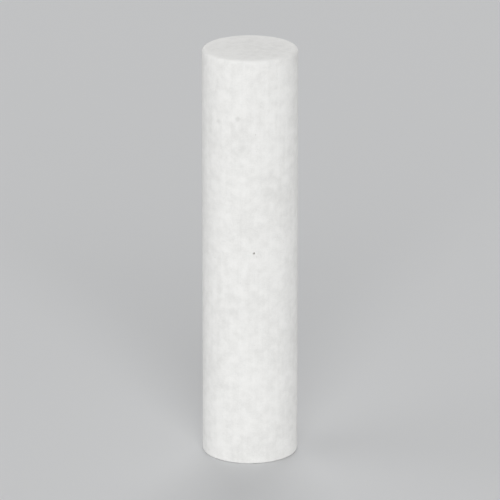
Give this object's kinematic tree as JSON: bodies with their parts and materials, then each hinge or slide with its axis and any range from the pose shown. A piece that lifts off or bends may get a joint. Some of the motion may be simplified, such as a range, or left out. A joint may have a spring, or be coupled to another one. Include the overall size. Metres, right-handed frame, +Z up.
{
  "type": "chalk stick",
  "caption": "Thick round stick of white cast-plaster chalk for writing and drawing on boards, with flat ends and softened rims.",
  "frame": {"origin": "centre of the foot, on the surface that the stick stands on", "axes": "+Z up along the stick's axis, from the foot to the writing end; the stick is round, so +X and +Y are any two directions across it"},
  "size_m": [0.025, 0.025, 0.11],
  "materials": {
    "chalk": "matte"
  },
  "bodies": {
    "root": {"chalk_stick": "chalk"}
  },
  "joints": []
}
